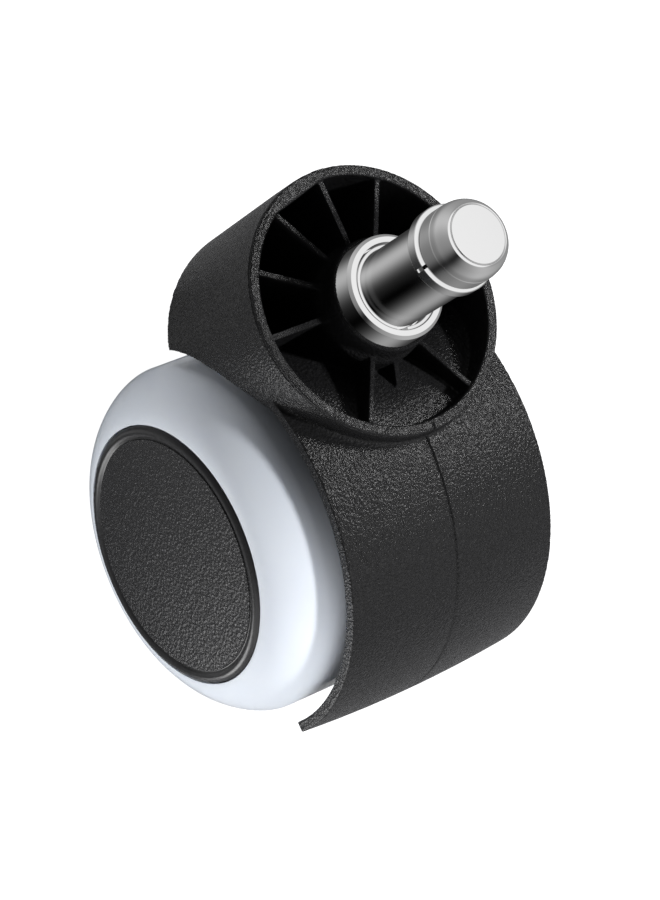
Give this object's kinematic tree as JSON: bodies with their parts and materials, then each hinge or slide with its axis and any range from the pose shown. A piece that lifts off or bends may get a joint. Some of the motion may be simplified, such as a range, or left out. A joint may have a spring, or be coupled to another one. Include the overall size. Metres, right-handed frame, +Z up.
{
  "type": "hooded twin-wheel swivel caster",
  "caption": "Hooded swivel chair caster: grip-ring stem in a ribbed round turret, fender over soft-tread twin wheels with dark hub caps.",
  "frame": {"origin": "centre of the stem's flat top end, on the swivel axis", "axes": "+Z up along the swivel axis, +X from the swivel axis towards the axle (the trailing side), Y along the axle"},
  "size_m": [0.0682, 0.0516, 0.0832],
  "materials": {
    "hood_nylon": "fine moulded grain, matte",
    "cap_nylon": "pebble grain with a smooth border",
    "core_nylon": "smooth matte",
    "soft_tread": "glossy milky polyurethane",
    "stem_chrome": "polished bright plating",
    "spring_steel": "bright spring steel",
    "sleeve_steel": "turned steel",
    "acetal": "natural acetal, satin"
  },
  "bodies": {
    "stem": {"stem": "stem_chrome", "stem_snap_ring": "spring_steel"},
    "grip_ring": {"grip_ring": "spring_steel"},
    "hood": {"hood": "hood_nylon", "socket_sleeve": "sleeve_steel", "thrust_disc": "sleeve_steel", "axle": "sleeve_steel", "axle_washer_left": "spring_steel", "axle_washer_right": "spring_steel", "axle_clip_left": "spring_steel", "axle_clip_right": "spring_steel"},
    "wheel_left": {"wheel_core_left": "core_nylon", "tread_left": "soft_tread", "hub_cap_left": "cap_nylon", "wheel_bush_left": "acetal"},
    "wheel_right": {"wheel_core_right": "core_nylon", "tread_right": "soft_tread", "hub_cap_right": "cap_nylon", "wheel_bush_right": "acetal"}
  },
  "joints": [
    {"name": "swivel", "type": "hinge", "parent": "stem", "child": "hood", "pos_m": [0, 0, -0.03], "axis": [0, 0, 1], "continuous": true},
    {"name": "grip_ring_turn", "type": "hinge", "parent": "stem", "child": "grip_ring", "pos_m": [0, 0, -0.0065], "axis": [0, 0, 1], "continuous": true},
    {"name": "wheel_left_spin", "type": "hinge", "parent": "hood", "child": "wheel_left", "pos_m": [0.0193, -0.017, -0.0582], "axis": [0, 1, 0], "continuous": true},
    {"name": "wheel_right_spin", "type": "hinge", "parent": "hood", "child": "wheel_right", "pos_m": [0.0193, 0.017, -0.0582], "axis": [0, 1, 0], "continuous": true}
  ]
}
